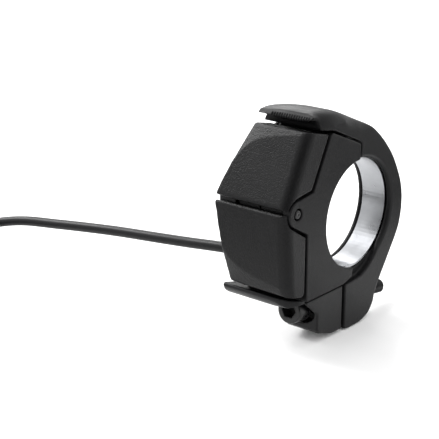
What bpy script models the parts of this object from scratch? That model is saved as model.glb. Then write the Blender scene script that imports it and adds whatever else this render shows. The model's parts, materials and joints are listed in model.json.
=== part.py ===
"""Handlebar thumb shifter: two wedge paddles on one pin, a hinged clamp ring and an electric lead.

Lengths below are in millimetres and go through MM once, where a mesh is made.
X runs along the handlebar, +X to the open side face. Y runs from the paddles (-Y) to the ring (+Y). Z is up.
The origin is the centre of the bar bore, in the middle of the ring's width.
An outline is a list of (y, z) points in the side view.
"""

import math

import bmesh
import bpy
from mathutils import Matrix, Vector

MM = 0.001

# Along the bar
SIDE_X = 4.0
RING_X = -4.0
COVER_X = 2.2
FAR_X = -13.2
FAR_COVER_X = -9.1
SEAM = 0.3

# Bar bore and clamp
BAR_RADIUS = 11.1
LINER_THICK = 0.4
LINER_X = (-2.8, 2.6)
FLANGE_RADIUS = 11.25
SADDLE_RADIUS = 11.8
SADDLE_OUTER = 12.6
SLOT_Y = (-4.75, -4.15)
HINGE = (-3.6, 15.3)
KNUCKLE_RADIUS = 1.6
HINGE_PIN_RADIUS = 0.7

# Clamp bolt: M3 socket-head screw, its axis falls to the rear
BOLT_X = -0.2
BOLT_HEAD = (-17.4, -16.4)
BOLT_TILT = math.radians(-8.0)
BOLT_LENGTH = 30.0
BOLT_RADIUS = 1.5
BOLT_HEAD_RADIUS = 2.72
BOLT_HEAD_HIGH = 3.0
BOLT_KEY_FLATS = 2.5
BOLT_KEY_DEEP = 1.6
COUNTERBORE_RADIUS = 3.2
COUNTERBORE_FLOOR = 8.2
CLEARANCE_RADIUS = 1.85

# Paddles
PIN = (-20.5, 4.96)
PIN_RADIUS = 0.9
PIN_HOLE = 1.22
BOSS_RADIUS = 2.6
BOSS_GAP = 3.1
HUB_RADIUS = 2.0
WIDEST_Z = 6.0
TAPER_UP = 0.27
TAPER_DOWN = 0.147

# Hub of each paddle along the pin
UPPER_HUB_X = (-8.7, -3.7)
LOWER_HUB_X = (-3.3, 1.8)

# Switch stacks behind each paddle: (y, z) on the housing's front, and the angle of the inward normal
STACKS = {
    "lower": ((-17.3, -5.7), 0.0),
    "upper": ((-13.1, 13.1), math.radians(-28.4)),
}
STACK_X = -3.5
PLATE_SIZE = (9.0, 10.2)
POCKET_SIZE = (5.8, 9.4)
PLATE_THICK = 1.0
POCKET_DEEP = 3.8
PLATE_SCREW_X = 3.8
SCREW_HOLE = 0.6
SCREW_RADIUS = 0.42

# Two long screws hold the covers together; their heads are in the far cover
CASE_SCREWS = {"upper": (-7.2, 13.2), "lower": (-15.0, -12.2)}
CASE_HEAD_X = (-10.3, -9.95)
CASE_TIP_X = 3.0

# Lead, its coil on the floor and its plug
GLAND_YZ = (-13.0, -8.7)
GLAND_TIP_X = -19.2
LEAD_RADIUS = 1.15
LEAD_ROUTE = [
    (-19.5, -13.0, -9.15), (-24.0, -13.0, -9.65), (-30.0, -13.1, -10.35), (-38.5, -13.3, -11.2),
    (-50.0, -13.6, -12.3), (-60.0, -14.1, -13.4), (-69.0, -14.6, -14.5), (-78.0, -15.2, -15.6),
    (-85.0, -15.9, -17.1), (-91.5, -17.0, -19.1), (-97.8, -18.5, -21.2),
]
COIL_CENTRE = (-100.8, -33.4)
COIL_ENTRY_ANGLE = 103.0
COIL_INNER = 11.3
COIL_OUTER = 13.7
COIL_FLOOR = -23.4
COIL_LAYER = 2.35
PLUG_ANGLE = 265.0
PLUG_START = 9.4

# The pieces' outlines in the side view, each read round its edge
HUB_GAP_UP = (104, 157)
HUB_GAP_DOWN = (232, 171)
UPPER_EDGE = [(-24.4, 6.15), (-17.75, 19.4), (-17.3, 19.85), (-11.2, 18.35), (-16.3, 8.75), (-21.2, 8.1)]
LOWER_EDGE = [
    (-24.45, 5.55), (-23.25, -11.0), (-22.7, -11.35), (-18.4, -12.5), (-17.95, -12.1), (-17.95, -0.15),
    (-18.2, -0.35),
]
COVER_TOP = [(-9.75, 18.55), (-10.55, 18.1), (-15.75, 8.1), (-20.2, 7.55)]
COVER_BOTTOM = [(-17.4, 0.2), (-17.3, -12.6), (-17.2, -13.75)]
COVER_TOE = [(-5.1, -13.75), (-4.4, -13.6), (-1.9, -12.9)]
HOUSING_FRONT = [(-9.75, 18.55), (-10.55, 18.1), (-15.75, 8.1), (-17.3, 5.0), (-17.3, -12.6)]
PARTING = [(-0.25, 14.3), (-0.5, 14.55)]
LIP_PROFILE = [
    (-17.65, -13.3), (-20.6, -12.55), (-22.2, -12.1), (-22.6, -12.2), (-22.65, -12.7),
    (-22.0, -13.6), (-20.6, -14.7), (-19.7, -14.95), (-17.65, -14.9),
]
LIP_RISE = math.radians(9.5)
LUG_OUTLINE = [
    (-16.9, -14.1), (-16.9, -14.6), (-13.5, -17.6), (-13.2, -18.4), (-13.2, -21.2), (-12.6, -21.9),
    (-8.9, -23.1), (-7.2, -23.4), (SLOT_Y[0] - 0.3, -23.4), (SLOT_Y[0], -23.1), (SLOT_Y[0], -14.1),
]
LUG_NECK = [(-9.5, -14.6), (-9.5, -7.6), (-5.2, -10.5), (-4.95, -14.6)]
KNUCKLE_WEB = [(-5.0, 15.6), (-5.3, 11.2), (-2.9, 11.6), (-2.9, 15.0)]
RING_WEB = [(-4.9, 15.3), (-4.4, 17.6), (-0.9, 16.4), (-2.3, 15.0)]
NOSE_FRONT = [
    (-9.35, 18.95), (-12.7, 19.35), (-13.0, 19.65), (-13.2, 20.75), (-14.45, 21.05), (-14.75, 21.35),
    (-14.7, 22.0),
]
RING_BACK = [
    (-14.3, 22.3), (-12.4, 22.6), (-10.2, 22.65), (-7.3, 22.2), (-4.4, 21.15), (-0.6, 19.45), (2.9, 17.6),
    (6.1, 15.3), (8.9, 12.7), (11.5, 9.7), (13.4, 6.6), (14.9, 3.5), (15.65, 0.6), (15.75, -2.4),
    (15.1, -5.8), (13.9, -8.2), (12.2, -10.7), (10.2, -13.6), (8.5, -16.0), (6.9, -18.6), (6.3, -20.6), (5.4, -22.0),
    (4.0, -23.1), (1.6, -23.8), (-1.7, -23.95), (-3.8, -23.75),
]
RING_SLOT = [(SLOT_Y[1], -23.4), (SLOT_Y[1], -11.6)]
RELIEF = [
    (8.6, -7.0), (6.2, -10.4), (4.9, -11.6), (3.2, -12.8), (1.2, -13.65), (-1.4, -13.9), (-3.0, -14.0),
    (-6.0, -14.1), (-6.0, -6.0), (0.0, -5.0),
]
# The ring seen from above, (x, y): the nose reaches past its far face, and its front corners are round
RING_PLAN = [
    (RING_X, 20.0), (RING_X, -4.6), (-6.6, -6.4), (-9.4, -9.2), (-10.7, -11.8), (-10.9, -13.6),
    (-10.5, -14.5), (-9.9, -15.2), (1.2, -15.2), (2.0, -14.7), (2.9, -13.4), (3.6, -11.4), (4.2, -9.0),
    (6.0, -8.0), (6.0, 20.0),
]
BASE_KNUCKLES = ((-4.0, -2.2), (0.1, 1.9))
RING_KNUCKLE = (-1.9, -0.2)

PLASTIC = ((0.030, 0.030, 0.032), 0.55, 0.0)
SOFT_PLASTIC = ((0.024, 0.024, 0.026), 0.60, 0.0)
RUBBER = ((0.020, 0.020, 0.020), 0.75, 0.0)
BLACK_METAL = ((0.035, 0.035, 0.037), 0.45, 0.3)
STEEL = ((0.62, 0.63, 0.65), 0.25, 1.0)
BOARD_GREEN = ((0.02, 0.14, 0.06), 0.5, 0.0)
SWITCH_BODY = ((0.05, 0.05, 0.05), 0.5, 0.0)


def clear_scene():
    for obj in list(bpy.data.objects):
        bpy.data.objects.remove(obj, do_unlink=True)


def make_collection(name):
    collection = bpy.data.collections.new(name)
    bpy.context.scene.collection.children.link(collection)
    return collection


clear_scene()
PARTS = make_collection("thumb_shifter")
CUTTERS = make_collection("cutters")


def make_material(name, look):
    colour, roughness, metallic = look
    material = bpy.data.materials.new(name)
    material.use_nodes = True
    shader = material.node_tree.nodes["Principled BSDF"]
    shader.inputs["Base Color"].default_value = (*colour, 1.0)
    shader.inputs["Roughness"].default_value = roughness
    shader.inputs["Metallic"].default_value = metallic
    return material


def add_object(name, data):
    """A new object among the cutters, where it stays out of the render until finish() moves it."""
    obj = bpy.data.objects.new(name, data)
    CUTTERS.objects.link(obj)
    obj.hide_render = True
    obj.display_type = "WIRE"
    return obj


def finish(obj, look, smooth=True, origin=None):
    """Give a part its material, its shading and, where it turns or slides, an origin on its axis."""
    obj.data.materials.clear()
    obj.data.materials.append(make_material(obj.name, look))
    if smooth:
        obj.data.shade_smooth()
        obj.data.set_sharp_from_angle(angle=math.radians(35))
    for collection in list(obj.users_collection):
        collection.objects.unlink(obj)
    PARTS.objects.link(obj)
    obj.hide_render = False
    obj.display_type = "TEXTURED"
    if origin is not None:
        place = Vector(origin) * MM
        obj.data.transform(Matrix.Translation(-place))
        obj.location = place
    return obj


def as_mesh(obj):
    """Turn a curve, or an object with modifiers, into one welded mesh object of the same name."""
    bpy.context.view_layer.update()
    graph = bpy.context.evaluated_depsgraph_get()
    mesh = bpy.data.meshes.new_from_object(obj.evaluated_get(graph))
    work = bmesh.new()
    work.from_mesh(mesh)
    bmesh.ops.remove_doubles(work, verts=work.verts, dist=1e-7)
    bmesh.ops.transform(work, matrix=obj.matrix_world, verts=work.verts)
    work.to_mesh(mesh)
    work.free()
    name = obj.name
    bpy.data.objects.remove(obj, do_unlink=True)
    return add_object(name, mesh)


def outline_curve(name, loops, half_thick):
    curve = bpy.data.curves.new(name, "CURVE")
    curve.dimensions = "2D"
    curve.fill_mode = "BOTH"
    curve.extrude = half_thick * MM
    for loop in loops:
        spline = curve.splines.new("POLY")
        spline.points.add(len(loop) - 1)
        for point, (a, b) in zip(spline.points, loop):
            point.co = (a * MM, b * MM, 0.0, 1.0)
        spline.use_cyclic_u = True
    return add_object(name, curve)


def plate(name, outline, x_low, x_high):
    """An outline in the side view (y, z), given thickness along the bar."""
    obj = outline_curve(name, [outline], (x_high - x_low) / 2)
    obj.location.x = (x_low + x_high) / 2 * MM
    obj.rotation_euler = (math.pi / 2, 0.0, math.pi / 2)
    return as_mesh(obj)


def plan_prism(name, outline, z_low, z_high):
    """An outline seen from above (x, y), given height."""
    obj = outline_curve(name, [outline], (z_high - z_low) / 2)
    obj.location.z = (z_low + z_high) / 2 * MM
    return as_mesh(obj)


def box(name, low, high, frame=None):
    """A box between two corners, in world axes or in the axes of a frame matrix."""
    mesh = bpy.data.meshes.new(name)
    work = bmesh.new()
    bmesh.ops.create_cube(work, size=1.0)
    size = [(b - a) * MM for a, b in zip(low, high)]
    centre = [(a + b) / 2 * MM for a, b in zip(low, high)]
    matrix = Matrix.Translation(centre) @ Matrix.Diagonal((*size, 1.0))
    if frame is not None:
        matrix = frame @ matrix
    bmesh.ops.transform(work, matrix=matrix, verts=work.verts)
    work.to_mesh(mesh)
    work.free()
    return add_object(name, mesh)


def along(start, end):
    """A frame whose Z runs from start to end, with its origin at start."""
    direction = Vector(end) - Vector(start)
    turn = direction.to_track_quat("Z", "Y").to_matrix().to_4x4()
    return Matrix.Translation(Vector(start) * MM) @ turn


def cylinder(name, start, end, radius, sides=32):
    """A round bar or cone between two points."""
    length = (Vector(end) - Vector(start)).length
    mesh = bpy.data.meshes.new(name)
    work = bmesh.new()
    bmesh.ops.create_cone(
        work, cap_ends=True, segments=sides, depth=length * MM,
        radius1=radius * MM, radius2=radius * MM,
    )
    bmesh.ops.translate(work, vec=(0, 0, length / 2 * MM), verts=work.verts)
    bmesh.ops.transform(work, matrix=along(start, end), verts=work.verts)
    work.to_mesh(mesh)
    work.free()
    return add_object(name, mesh)


def turned(name, profile, start, end, steps=32):
    """A profile of (radius, height) pairs, top to bottom, turned about the line from start to end."""
    mesh = bpy.data.meshes.new(name)
    points = [(r * MM, 0.0, h * MM) for r, h in profile]
    mesh.from_pydata(points, [(i, i + 1) for i in range(len(points) - 1)], [])
    obj = add_object(name, mesh)
    screw = obj.modifiers.new("Screw", "SCREW")
    screw.steps = screw.render_steps = steps
    screw.use_merge_vertices = True
    screw.merge_threshold = 1e-6
    screw.use_smooth_shade = False
    obj.matrix_world = along(start, end)
    return as_mesh(obj)


def boolean(target, tool, operation):
    modifier = target.modifiers.new(operation.title(), "BOOLEAN")
    modifier.operation = operation
    modifier.solver = "EXACT"
    modifier.object = tool
    result = as_mesh(target)
    bpy.data.objects.remove(tool, do_unlink=True)
    return result


def cut(target, *tools):
    for tool in tools:
        target = boolean(target, tool, "DIFFERENCE")
    return target


def join(target, *tools):
    for tool in tools:
        target = boolean(target, tool, "UNION")
    return target


def keep_inside(target, tool):
    return boolean(target, tool, "INTERSECT")


def arc(centre, radius, start, end, count):
    """Points on a circle in the side view, angles in degrees from +Y towards +Z."""
    angles = [math.radians(start + (end - start) * i / (count - 1)) for i in range(count)]
    return [(centre[0] + radius * math.cos(a), centre[1] + radius * math.sin(a)) for a in angles]


def catmull(points, per_span):
    """A smooth curve through the points."""
    ends = [points[0] * 2 - points[1]] + points + [points[-1] * 2 - points[-2]]
    smooth = []
    for i in range(1, len(ends) - 2):
        p0, p1, p2, p3 = ends[i - 1:i + 3]
        for step in range(per_span):
            t = step / per_span
            smooth.append(0.5 * (
                2 * p1 + (p2 - p0) * t + (2 * p0 - 5 * p1 + 4 * p2 - p3) * t ** 2
                + (3 * p1 - p0 - 3 * p2 + p3) * t ** 3
            ))
    return smooth + [points[-1]]


def bar_cylinder(name, radius, x_low=-30.0, x_high=30.0, sides=72):
    return cylinder(name, (x_low, 0, 0), (x_high, 0, 0), radius, sides)


def pin_cylinder(name, centre, radius, x_low, x_high, sides=24):
    return cylinder(name, (x_low, *centre), (x_high, *centre), radius, sides)


def taper_far_side(obj, reach):
    """Lean the far end faces in towards the top and the bottom, from the widest height."""
    work = bmesh.new()
    work.from_mesh(obj.data)
    bmesh.ops.bisect_plane(
        work, geom=work.verts[:] + work.edges[:] + work.faces[:],
        plane_co=(0, 0, WIDEST_Z * MM), plane_no=(0, 0, 1), dist=1e-7,
    )
    for vert in work.verts:
        if vert.co.x < reach * MM:
            rise = vert.co.z - WIDEST_Z * MM
            vert.co.x += TAPER_UP * rise if rise > 0 else -TAPER_DOWN * rise
    work.to_mesh(obj.data)
    work.free()
    return obj


def bolt_point(distance):
    """A point on the bolt's axis, so far behind the face of its head."""
    y, z = BOLT_HEAD
    return (BOLT_X, y + distance * math.cos(BOLT_TILT), z + distance * math.sin(BOLT_TILT))


# ---------------------------------------------------------------- paddles

def facet_cutter(name, crease):
    """A wedge that shaves the outer far corner of a paddle beyond a crease of three points."""
    a, b, c = (Vector(p) for p in crease)
    normal = (b - a).cross(c - a).normalized()
    if normal.y > 0:
        normal.negate()
    block = box(name, (-40, -40, 0), (40, 40, 30))
    turn = normal.to_track_quat("Z", "Y").to_matrix().to_4x4()
    block.data.transform(Matrix.Translation(a * MM) @ turn)
    return block


def make_paddle(name, outline, hub_x, web, crease):
    body = plate(name, outline, FAR_X, SIDE_X)
    body = taper_far_side(body, FAR_X + 0.1)
    body = cut(body, facet_cutter(name + "_facet", crease))
    hub = pin_cylinder(name + "_hub", PIN, HUB_RADIUS, *hub_x)
    neck = box(name + "_web", (hub_x[0] + 0.1, *web[0]), (hub_x[1] - 0.1, *web[1]))
    body = join(body, join(hub, neck))
    body = cut(body, pin_cylinder(name + "_bore", PIN, PIN_HOLE, -20, 10))
    return finish(body, PLASTIC, origin=(0, *PIN))


def make_paddles():
    make_paddle(
        "upper_paddle", UPPER_EDGE + arc(PIN, BOSS_GAP, *HUB_GAP_UP, 6), UPPER_HUB_X,
        ((-21.3, 4.96), (-19.5, 9.2)), ((-10.6, -20.2, 15.0), (3.0, -17.2, 20.0), (-9.7, -16.85, 19.9)),
    )
    make_paddle(
        "lower_paddle", LOWER_EDGE + arc(PIN, BOSS_GAP, *HUB_GAP_DOWN, 6), LOWER_HUB_X,
        ((-22.0, 0.2), (-20.2, 4.96)), ((-11.7, -23.85, -4.2), (2.6, -23.2, -11.0), (-10.6, -22.7, -11.2)),
    )
    pin = turned(
        "paddle_pivot_pin",
        [(0, 17.05), (0.75, 17.05), (PIN_RADIUS, 16.85), (PIN_RADIUS, 0.2), (0.75, 0), (0, 0)],
        (FAR_X + 0.15, *PIN), (SIDE_X, *PIN), 24,
    )
    finish(pin, BLACK_METAL)


# ---------------------------------------------------------------- housing

def cover_front():
    """The front edge of both covers, round the boss that holds the paddles' pin."""
    return COVER_TOP + arc(PIN, BOSS_RADIUS, 92, 236, 12) + COVER_BOTTOM


def make_side_cover():
    outline = (
        cover_front()
        + COVER_TOE
        + arc((0, 0), BAR_RADIUS + 0.1, 261.5, 91.3, 44)
        + PARTING
    )
    cover = plate("side_cover", outline, COVER_X, SIDE_X)
    cover = cut(
        cover,
        pin_cylinder("cover_pin_hole", PIN, PIN_HOLE, 0, 10),
        box("behind_toe", (0, -4.5, -16), (LINER_X[1] + 0.35, 5, -9)),
    )
    for place in CASE_SCREWS.values():
        cover = cut(cover, pin_cylinder("cover_screw_hole", place, SCREW_HOLE, 0, CASE_TIP_X + 0.3, 16))
    return finish(cover, PLASTIC)


def make_far_cover():
    outline = (
        cover_front()
        + [(-8.0, -13.75)]
        + arc((0, 0), BAR_RADIUS + 0.5, 234, 112, 28)
        + [(-4.8, 16.2)]
    )
    cover = taper_far_side(plate("far_cover", outline, FAR_X, FAR_COVER_X), FAR_X + 0.1)
    cover = cut(
        cover,
        pin_cylinder("far_pin_hole", PIN, PIN_HOLE, -20, -5),
        pin_cylinder("gland_hole", GLAND_YZ, 2.1, -20, -5, 32),
    )
    for place in CASE_SCREWS.values():
        cover = cut(
            cover,
            pin_cylinder("case_screw_hole", place, SCREW_HOLE, -20, -5, 16),
            pin_cylinder("case_screw_head_room", place, 1.1, -20, CASE_HEAD_X[1] + 0.15, 20),
        )
    return finish(cover, PLASTIC)


def make_case_screws():
    for label, place in CASE_SCREWS.items():
        head = pin_cylinder(f"case_screw_{label}", place, 0.8, *CASE_HEAD_X, 20)
        shank = pin_cylinder("shank", place, SCREW_RADIUS, CASE_HEAD_X[1] - 0.1, CASE_TIP_X, 12)
        finish(join(head, shank), STEEL)


def stack_frame(which):
    """Axes of a switch stack: X along the bar, Y down the face, Z inwards."""
    (y, z), angle = STACKS[which]
    place = Matrix.Translation(Vector((STACK_X, y, z)) * MM)
    return place @ Matrix.Rotation(angle - math.pi / 2, 4, "X")


def stack_box(name, which, size_x, size_y, deep_low, deep_high):
    half_x, half_y = size_x / 2, size_y / 2
    return box(name, (-half_x, -half_y, deep_low), (half_x, half_y, deep_high), stack_frame(which))


def stack_cylinder(name, which, x, y, low, high, radius, sides=24):
    frame = stack_frame(which)
    start = frame @ (Vector((x, y, low)) * MM) / MM
    end = frame @ (Vector((x, y, high)) * MM) / MM
    return cylinder(name, start, end, radius, sides)


def make_housing():
    bore_side = arc((0, 0), BAR_RADIUS + 0.5, 238, 112, 28)
    outline = HOUSING_FRONT + [(-17.3, -14.9), (-9.0, -14.9)] + bore_side + [(-4.8, 16.2)]
    body = plate("housing_body", outline, FAR_COVER_X + SEAM, COVER_X - SEAM)
    body = cut(
        body,
        bar_cylinder("saddle_room", SADDLE_OUTER + 0.35, RING_X - 0.35, 10),
        pin_cylinder("knuckle_room", HINGE, KNUCKLE_RADIUS + 0.35, RING_X - 0.35, 10, 32),
        box("lug_room", (RING_X - 0.35, -20.0, -30.0), (10, 0, -13.85)),
        box("neck_room", (RING_X - 0.35, -9.9, -30.0), (10, 5, -7.2)),
        box("knuckle_web_room", (RING_X - 0.35, -5.6, 9.0), (10, 5.0, 15.3)),
        cylinder("head_room", bolt_point(-8), bolt_point(COUNTERBORE_FLOOR), COUNTERBORE_RADIUS, 40),
    )
    for which in STACKS:
        body = cut(
            body,
            stack_box("plate_seat", which, PLATE_SIZE[0] + 0.5, PLATE_SIZE[1] + 0.5, -2, PLATE_THICK + 0.4),
            stack_box("deep_pocket", which, *POCKET_SIZE, -2, POCKET_DEEP),
        )
        for side in (-1, 1):
            body = cut(
                body,
                stack_cylinder("post_hole", which, side * PLATE_SCREW_X, 0, 0, 3.6, SCREW_HOLE, 16),
            )
    body = cut(
        body,
        pin_cylinder("lead_way", GLAND_YZ, 1.5, -20, -5.5, 24),
        cylinder("flex_way", (STACK_X, -15.2, -3.0), (STACK_X, -13.6, 9.5), 0.9, 16),
    )
    for place in CASE_SCREWS.values():
        body = cut(body, pin_cylinder("case_screw_way", place, SCREW_HOLE, -20, 10, 16))
    return finish(body, PLASTIC)


def lip_outline():
    """The guard below the lower paddle, seen from above: it sweeps back to the open side face."""
    return (
        [(-12.8, -14.0), (-13.1, -21.3), (-12.5, -22.6), (-0.6, -22.6)]
        + [(4.0 - 4.6 * (1 - math.sin(a)), -18.4 - 4.2 * math.cos(a)) for a in (0.25, 0.6, 0.95, 1.3, 1.5)]
        + [(4.0, -17.9), (4.0, -14.0)]
    )


def make_guard_lip():
    lip = plate("guard_lip", LIP_PROFILE, -13.5, SIDE_X)
    lip = keep_inside(lip, plan_prism("lip_plan", lip_outline(), -20, -5))
    slope = Matrix.Translation(Vector((-3.0, 0, -15.0)) * MM) @ Matrix.Rotation(-LIP_RISE, 4, "Y")
    lip = cut(lip, box("lip_underside", (0, -40, -10), (12, 0, 0), slope))
    return finish(lip, PLASTIC)


# ---------------------------------------------------------------- clamp

def make_clamp_base():
    saddle_outline = arc((0, 0), SADDLE_OUTER, 96, 246, 40) + arc((0, 0), SADDLE_RADIUS - 0.6, 246, 96, 40)
    base = plate("clamp_base", saddle_outline, RING_X, COVER_X - SEAM)
    lug = plate("front_lug", LUG_OUTLINE, RING_X, SIDE_X - 0.25)
    neck = plate("lug_neck", LUG_NECK, RING_X + 0.05, COVER_X - SEAM - 0.05)
    base = join(base, lug, neck)
    for x_low, x_high in BASE_KNUCKLES:
        knuckle = pin_cylinder("base_knuckle", HINGE, KNUCKLE_RADIUS, x_low, x_high, 32)
        base = join(base, join(knuckle, plate("knuckle_web", KNUCKLE_WEB, x_low, x_high)))
    base = cut(
        base,
        bar_cylinder("base_bore", SADDLE_RADIUS),
        pin_cylinder("base_hinge_hole", HINGE, HINGE_PIN_RADIUS + 0.3, -10, 10),
        cylinder("counterbore", bolt_point(-8), bolt_point(COUNTERBORE_FLOOR), COUNTERBORE_RADIUS, 40),
        cylinder("bolt_way", bolt_point(0), bolt_point(22), CLEARANCE_RADIUS, 32),
    )
    return finish(base, BLACK_METAL)


def make_clamp_ring():
    back = [tuple(p) for p in catmull([Vector(p) for p in RING_BACK], 3)]
    bore = arc((0, 0), FLANGE_RADIUS, 249.5, 450.5, 64)
    outline = NOSE_FRONT + back + RING_SLOT + bore + [(0.1, 14.35), (-0.35, 14.95)]
    body = plate("clamp_ring", outline, -11.0, SIDE_X)
    body = keep_inside(body, plan_prism("ring_plan", RING_PLAN, -30, 30))
    body = cut(body, pin_cylinder("base_knuckle_room", HINGE, KNUCKLE_RADIUS + 0.35, -12, COVER_X, 32))
    knuckle = pin_cylinder("ring_knuckle", HINGE, KNUCKLE_RADIUS, *RING_KNUCKLE, 32)
    web = plate("ring_web", RING_WEB, RING_KNUCKLE[0] + 0.02, RING_KNUCKLE[1] - 0.02)
    body = join(body, join(knuckle, web))
    body = cut(
        body,
        bar_cylinder("liner_groove", SADDLE_RADIUS, LINER_X[0] - SEAM, LINER_X[1] + SEAM),
        plate("near_relief", RELIEF, LINER_X[1], SIDE_X + 2),
        pin_cylinder("ring_hinge_hole", HINGE, HINGE_PIN_RADIUS + 0.3, -10, 10),
        cylinder("ring_bolt_way", bolt_point(8), bolt_point(60), CLEARANCE_RADIUS + 0.1, 32),
        cylinder("nut_pocket", bolt_point(19.6), bolt_point(60), 2.75, 32),
    )
    return finish(body, PLASTIC, origin=(0, *HINGE))


def make_liner(name, start, end, x_low, x_high, origin=None):
    outer = BAR_RADIUS + LINER_THICK
    count = max(12, int(abs(end - start) / 4))
    outline = arc((0, 0), outer, start, end, count) + arc((0, 0), BAR_RADIUS, end, start, count)
    return finish(plate(name, outline, x_low, x_high), STEEL, origin=origin)


def make_hardware():
    top, side = 5.8, HINGE_PIN_RADIUS
    profile = [(0, top), (0.6, top), (side, top - 0.1), (side, 0.1), (0.6, 0), (0, 0)]
    finish(turned("clamp_hinge_pin", profile, (-3.95, *HINGE), (2.0, *HINGE), 20), STEEL)
    make_bolt()
    washer_start = BOLT_HEAD_HIGH + 0.3
    washer = turned(
        "bolt_washer", [(1.8, 0.5), (2.7, 0.5), (2.7, 0.0), (1.8, 0.0), (1.8, 0.5)],
        bolt_point(washer_start), bolt_point(washer_start + 5), 32,
    )
    finish(washer, BLACK_METAL, origin=bolt_point(0))
    nut = cylinder("clamp_nut", bolt_point(19.9), bolt_point(22.6), 2.4, 6)
    nut = cut(nut, cylinder("nut_bore", bolt_point(15), bolt_point(30), CLEARANCE_RADIUS, 24))
    finish(nut, STEEL, origin=(0, *HINGE))


def make_bolt():
    total = BOLT_HEAD_HIGH + BOLT_LENGTH
    profile = [
        (0, total), (0.9, total), (1.35, total - 0.35), (BOLT_RADIUS, total - 0.8),
        (BOLT_RADIUS, BOLT_HEAD_HIGH),
        (BOLT_HEAD_RADIUS, BOLT_HEAD_HIGH), (BOLT_HEAD_RADIUS, 0.3), (BOLT_HEAD_RADIUS - 0.3, 0), (0, 0),
    ]
    bolt = turned("clamp_bolt", profile, bolt_point(0), bolt_point(10), 40)
    key_radius = BOLT_KEY_FLATS / math.sqrt(3)
    bolt = cut(bolt, cylinder("hex_key", bolt_point(-2), bolt_point(BOLT_KEY_DEEP), key_radius, 6))
    return finish(bolt, BLACK_METAL, origin=bolt_point(0))


# ---------------------------------------------------------------- switches

def make_stack(which):
    plate_part = stack_box(which + "_switch_plate", which, *PLATE_SIZE, 0.05, 0.05 + PLATE_THICK)
    plate_part = cut(plate_part, stack_cylinder("window", which, 0, 0, -2, 3, 1.7))
    for side in (-1, 1):
        hole = stack_cylinder("plate_hole", which, side * PLATE_SCREW_X, 0, -2, 3, SCREW_HOLE, 16)
        sink = stack_cylinder("plate_sink", which, side * PLATE_SCREW_X, 0, -2, 0.6, 1.1, 16)
        plate_part = cut(plate_part, hole, sink)
    finish(plate_part, SOFT_PLASTIC)
    cap = join(
        stack_cylinder(which + "_key_cap", which, 0, 0, -0.4, 1.5, 1.35),
        stack_cylinder("cap_flange", which, 0, 0, 1.35, 1.65, 2.1),
    )
    finish(cap, RUBBER, origin=stack_frame(which).translation / MM)
    finish(stack_box(which + "_switch", which, 4.0, 4.0, 2.35, 2.8), SWITCH_BODY, smooth=False)
    finish(stack_box(which + "_board", which, 5.2, 8.8, 3.1, 3.6), BOARD_GREEN, smooth=False)
    for side, label in ((-1, "far"), (1, "near")):
        screw_x = side * PLATE_SCREW_X
        head = stack_cylinder(f"{which}_plate_screw_{label}", which, screw_x, 0, 0.1, 0.45, 0.8, 16)
        screw = join(head, stack_cylinder("shank", which, screw_x, 0, 0.4, 3.2, SCREW_RADIUS, 12))
        finish(screw, STEEL)


# ---------------------------------------------------------------- lead

def make_lead():
    entry = Vector(around_coil(COIL_ENTRY_ANGLE, COIL_OUTER, COIL_FLOOR + LEAD_RADIUS))
    route = [p for p in catmull([Vector(p) for p in LEAD_ROUTE] + [entry], 3) if clear_of_coil(p)]
    curve = bpy.data.curves.new("lead", "CURVE")
    curve.dimensions = "3D"
    curve.bevel_depth = LEAD_RADIUS * MM
    curve.bevel_resolution = 2
    curve.use_fill_caps = True
    spline = curve.splines.new("POLY")
    spline.points.add(len(route) - 1)
    for point, place in zip(spline.points, route):
        point.co = (*(place * MM), 1.0)
    finish(as_mesh(add_object("lead", curve)), RUBBER)


def make_gland():
    y, z = GLAND_YZ
    start = Vector((FAR_COVER_X - 0.1, y, z))
    tip = Vector((GLAND_TIP_X, y, z - 0.42))
    length = (tip - start).length
    profile = [
        (0, length), (1.25, length), (1.45, length - 0.3), (1.75, length - 7.0), (1.75, 0.0), (0, 0),
    ]
    finish(turned("lead_gland", profile, start, tip, 24), RUBBER)


def around_coil(angle, radius, z):
    """A point so far round the coil, in degrees from +X, at a radius from its centre."""
    x, y = COIL_CENTRE
    turn = math.radians(angle)
    return (x + radius * math.cos(turn), y + radius * math.sin(turn), z)


def clear_of_coil(point):
    """True where the lead's tube would still be outside the coil's ring."""
    distance = (Vector(point[:2]) - Vector(COIL_CENTRE)).length
    return distance > COIL_OUTER + 2 * LEAD_RADIUS + 0.4


def make_coil():
    half = LEAD_RADIUS + 0.05
    inner, outer = COIL_INNER - half, COIL_OUTER + half
    top = 2 * LEAD_RADIUS + COIL_LAYER + 0.05
    profile = [(inner, top), (outer, top), (outer, 0.0), (inner, 0.0), (inner, top)]
    centre = (*COIL_CENTRE, COIL_FLOOR)
    finish(turned("lead_coil", profile, centre, (*COIL_CENTRE, 0.0), 48), RUBBER)
    make_coil_tie(inner, outer, top)


def make_coil_tie(inner, outer, top):
    """A flat band round the coil's section, on the side nearest the housing."""
    x, y = COIL_CENTRE
    gap, thick, half_wide = 0.3, 0.3, 1.3
    low, high = COIL_FLOOR, COIL_FLOOR + top
    reach = gap + thick
    band = box(
        "coil_tie", (x + inner - reach, y - half_wide, low - reach),
        (x + outer + reach, y + half_wide, high + reach),
    )
    space = box(
        "tie_space", (x + inner - gap - 0.2, y - 9, low - gap), (x + outer + gap, y + 9, high + gap),
    )
    finish(cut(band, space), SOFT_PLASTIC)


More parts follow.
